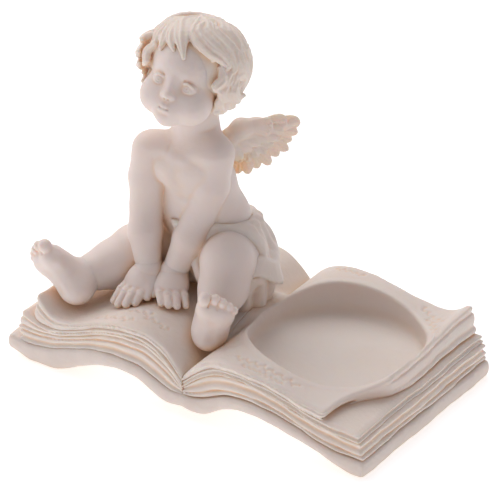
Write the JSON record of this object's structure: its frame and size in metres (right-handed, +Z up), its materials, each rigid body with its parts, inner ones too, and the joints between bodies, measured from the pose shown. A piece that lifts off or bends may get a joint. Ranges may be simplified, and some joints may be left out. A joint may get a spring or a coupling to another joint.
{
  "type": "cherub figurine tealight holder",
  "caption": "Seated cherub with small wings on an open book, cast in resin; a round recess in the right page holds a tealight.",
  "frame": {"origin": "centre of the footprint on the ground, under the book's spine", "axes": "+X across the open book towards the page with the tealight recess, +Y along the spine towards the back, +Z up; the cherub faces -Y"},
  "size_m": [0.102, 0.0566, 0.088],
  "materials": {
    "resin_cloth": "satin",
    "resin_cover": "satin",
    "resin_hair": "satin",
    "resin_pages": "satin",
    "resin_skin": "satin",
    "resin_wing": "satin"
  },
  "bodies": {
    "root": {"book_cover": "resin_cover", "drape": "resin_cloth", "drape_tail": "resin_cloth", "hair": "resin_hair", "head": "resin_skin", "left_arm": "resin_skin", "left_foot": "resin_skin", "left_hand": "resin_skin", "left_leg": "resin_skin", "left_middle_leaves": "resin_pages", "left_page_block": "resin_pages", "left_top_leaves": "resin_pages", "left_wing": "resin_wing", "right_arm": "resin_skin", "right_foot": "resin_skin", "right_hand": "resin_skin", "right_leg": "resin_skin", "right_middle_leaves": "resin_pages", "right_page_block": "resin_pages", "right_top_leaves": "resin_pages", "right_wing": "resin_wing", "torso": "resin_skin"}
  },
  "joints": []
}
